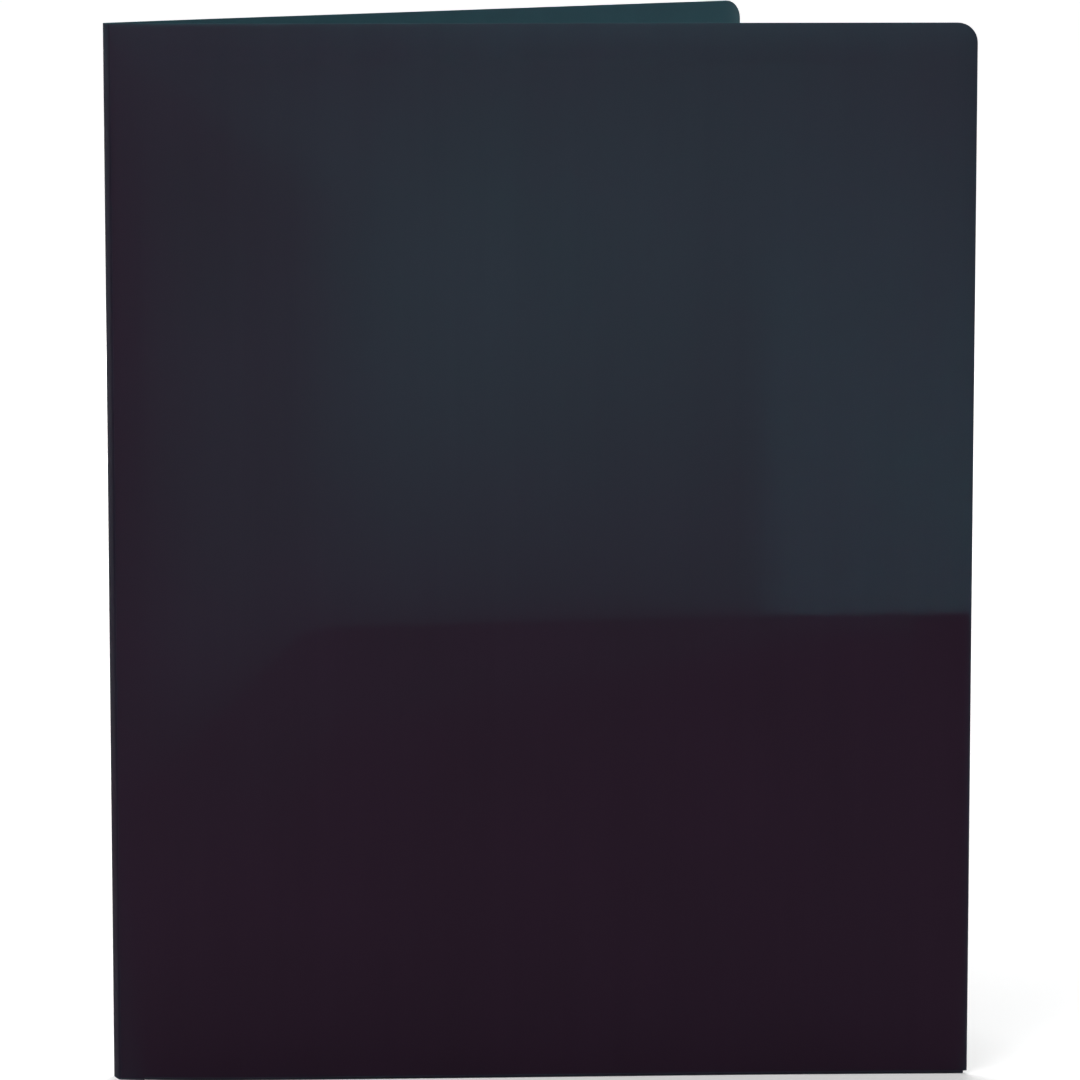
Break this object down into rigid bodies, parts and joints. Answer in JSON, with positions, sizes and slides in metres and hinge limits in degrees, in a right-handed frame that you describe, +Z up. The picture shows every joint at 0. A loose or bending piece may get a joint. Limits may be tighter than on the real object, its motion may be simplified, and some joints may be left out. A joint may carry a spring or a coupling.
{
  "type": "two pocket folder",
  "caption": "Letter size folder of dark see-through plastic sheet: covers on a scored spine, each with a pocket folded up from its lower edge.",
  "frame": {"origin": "bottom centre of the standing folder's box", "axes": "+Z up the covers, front cover facing -Y, spine at the -X end"},
  "size_m": [0.2416, 0.1566, 0.297],
  "materials": {
    "sheet": "matte see-through polypropylene, dark teal",
    "folded_sheet": "creased polypropylene, a little paler than the flat sheet",
    "adhesive": "pressure-sensitive film"
  },
  "bodies": {
    "spine": {"spine": "sheet", "front_hinge": "folded_sheet", "back_hinge": "folded_sheet"},
    "front_leaf": {"front_cover": "sheet", "front_pocket_fold": "folded_sheet", "front_pocket": "sheet", "front_tab_fold": "folded_sheet", "front_pocket_tab": "sheet", "front_tab_adhesive": "adhesive"},
    "back_leaf": {"back_cover": "sheet", "back_pocket_fold": "folded_sheet", "back_pocket": "sheet", "back_tab_fold": "folded_sheet", "back_pocket_tab": "sheet", "back_tab_adhesive": "adhesive"},
    "front_pocket_mouth": {"front_pocket_mouth": "sheet"},
    "back_pocket_mouth": {"back_pocket_mouth": "sheet"}
  },
  "joints": [
    {"name": "front_score", "type": "hinge", "parent": "spine", "child": "front_leaf", "pos_m": [-0.11884, -0.07804, 0.1485], "axis": [0, 0, -1], "range_deg": [-19.6, 160.4]},
    {"name": "back_score", "type": "hinge", "parent": "spine", "child": "back_leaf", "pos_m": [-0.12051, -0.07333, 0.1485], "axis": [0, 0, 1], "range_deg": [-19.6, 160.4]},
    {"name": "front_pocket_bend", "type": "hinge", "parent": "front_leaf", "child": "front_pocket_mouth", "pos_m": [-0.11184, -0.07659, 0.01298], "axis": [-0.877, 0, -0.4806], "range_deg": [-2.75, 22.46]},
    {"name": "back_pocket_bend", "type": "hinge", "parent": "back_leaf", "child": "back_pocket_mouth", "pos_m": [-0.11417, -0.07003, 0.01298], "axis": [0.6796, 0.5543, 0.4806], "range_deg": [-2.75, 22.46]}
  ],
  "couplings": [
    {"joint": "back_score", "follows": "front_score", "ratio": 1},
    {"joint": "front_pocket_bend", "follows": "front_score", "ratio": 0.14},
    {"joint": "back_pocket_bend", "follows": "front_score", "ratio": 0.14}
  ]
}
